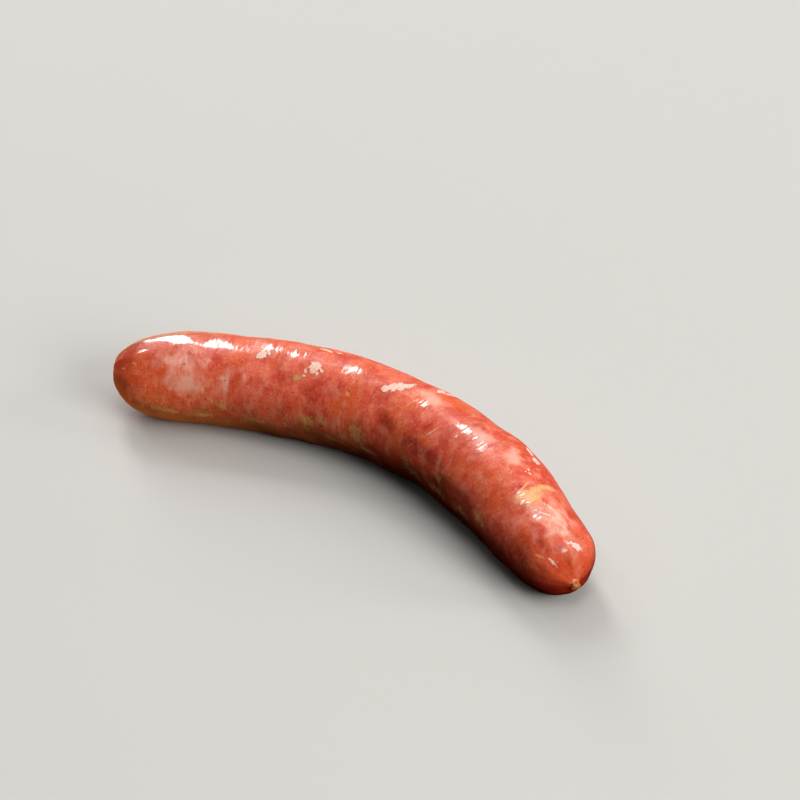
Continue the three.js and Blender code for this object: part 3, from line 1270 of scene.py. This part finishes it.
@dataclass(frozen=True)
class SoftBox:
    """A soft lamp that faces the link.

    Attributes:
        name: Its name.
        azimuth: Degrees from +Y towards +X.
        elevation: Degrees above the floor.
        distance: Metres away.
        width: Metres across.
        height: Metres high.
        watts: Power.
        tint: Its colour.
    """

    name: str
    azimuth: float
    elevation: float
    distance: float
    width: float
    height: float
    watts: float
    tint: tuple[float, float, float] = (1, 0.98, 0.95)

    def build(self) -> None:
        """Makes the lamp."""
        turn, lift = np.radians(self.azimuth), np.radians(self.elevation)
        way = Vector((np.sin(turn) * np.cos(lift), np.cos(turn) * np.cos(lift), np.sin(lift)))
        data = bpy.data.lights.new(self.name, "AREA")
        data.shape = "RECTANGLE"
        data.size = self.width
        data.size_y = self.height
        data.energy = self.watts
        data.color = self.tint
        lamp = bpy.data.objects.new(self.name, data)
        lamp.location = way * self.distance
        lamp.rotation_euler = way.to_track_quat("Z", "Y").to_euler()
        bpy.context.scene.collection.objects.link(lamp)


@dataclass(frozen=True)
class Studio:
    """A pale floor, soft lamps and a dim sky.

    Attributes:
        floor_size: Half its side in metres.
        floor_colour: The floor's colour as the camera sees it.
        floor_shade: The dark colour in front that other rays meet, so that the low side stays dark.
        floor_glow: The warmer colour that they meet at the left, which lights the low side there.
        sky_way: The direction, of length about 1, in which the sky is brightest.
        sky_light: Its brightness there, which falls to 0 a quarter turn away.
        lamps: The lamps.
    """

    floor_size: float = 3
    floor_colour: Colour = paint(204, 203, 201)
    floor_shade: Colour = paint(30, 20, 10)
    floor_glow: Colour = paint(196, 170, 104)
    sky_way: tuple[float, float, float] = (0.0, 0.2, 0.98)
    sky_light: float = 0.24
    lamps: tuple[SoftBox, ...] = (
        SoftBox("key", -51, 31, 2.2, 0.52, 1.7, 30),
        SoftBox("top", -28, 64, 2.2, 1.4, 1.4, 7),
        SoftBox("front", 140, 78, 2.2, 1.3, 1.3, 10),
        SoftBox("side", -78, 36, 2.2, 0.3, 0.3, 4),
        SoftBox("rim", 58, 18, 2.2, 0.55, 1.2, 13),
        SoftBox("fill", 100, 29, 2.2, 1.3, 1.0, 31, (1, 0.97, 0.92)),
    )

    def floor_finish(self) -> bpy.types.Material:
        """Makes the floor's matte material.

        The camera sees its pale colour everywhere. Other rays meet a darker one, a little paler
        behind the link, and warmer at the left.

        Returns:
            The material.
        """
        material = bpy.data.materials.new("pale_floor")
        material.use_nodes = True
        on = Sketch(material.node_tree)
        place = on.node("ShaderNodeTexCoord").outputs["Object"]
        split = on.node("ShaderNodeSeparateXYZ")
        on.feed(split.inputs[0], place)
        east, north = split.outputs["X"], split.outputs["Y"]
        camera_ray = on.node("ShaderNodeLightPath").outputs["Is Camera Ray"]
        seen = on.sum(on.step(north, 0.01, 0.05, 0.3), camera_ray)
        thrown = on.blend(on.step(east, -0.03, -0.06), self.floor_shade, self.floor_glow)
        shader = material.node_tree.nodes["Principled BSDF"]
        on.feed(shader.inputs["Base Color"], on.blend(seen, thrown, self.floor_colour))
        shader.inputs["Roughness"].default_value = 1
        shader.inputs["Specular IOR Level"].default_value = 0
        return material

    def build(self) -> None:
        """Makes the floor, the lamps and the sky."""
        side = self.floor_size
        corners = np.array([[-side, -side, 0], [side, -side, 0], [side, side, 0], [-side, side, 0]])
        floor = mesh_object("floor", corners, (np.array([[0, 1, 2, 3]]), np.empty((0, 3), int)))
        floor.data.materials.append(self.floor_finish())
        for lamp in self.lamps:
            lamp.build()
        self.build_sky()
        bpy.context.scene.view_settings.view_transform = "Standard"

    def build_sky(self) -> None:
        """Makes a white sky that is brightest almost overhead and dark at the horizon."""
        world = bpy.data.worlds.new("sky")
        world.use_nodes = True
        on = Sketch(world.node_tree)
        toward = on.node("ShaderNodeVectorMath", operation="DOT_PRODUCT")
        on.feed(toward.inputs[0], on.node("ShaderNodeTexCoord").outputs["Generated"])
        on.feed(toward.inputs[1], self.sky_way)
        shader = world.node_tree.nodes["Background"]
        shader.inputs["Color"].default_value = (1, 1, 1, 1)
        on.feed(shader.inputs["Strength"], on.step(toward.outputs["Value"], 0, 1, self.sky_light))
        bpy.context.scene.world = world


class Sausage:
    """The whole link: its skin with the knot, dressed and tied to the frame."""

    def __init__(self) -> None:
        """Sets up the skin and its finish."""
        self.casing = Casing()
        self.finish = CookedCasing()

    def build(self) -> bpy.types.Object:
        """Makes the skin and dresses it.

        Returns:
            The skin's object.
        """
        skin = self.casing.build()
        skin.data.materials.append(self.finish.make())
        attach(skin, "root")
        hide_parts(NODE)
        return skin


def write_sizes() -> None:
    """Brings the scene's placements up to date."""
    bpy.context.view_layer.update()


def main() -> None:
    """Builds the studio and the sausage, and reports each."""
    logging.basicConfig(level=logging.INFO, format="%(name)s: %(message)s")
    PhotoCamera().build()
    Studio().build()
    log.info("camera, lamps and floor are in place")
    skin = Sausage().build()
    log.info("%s has %d vertices", skin.name, len(skin.data.vertices))
    write_sizes()


if __name__ == "__main__":
    main()
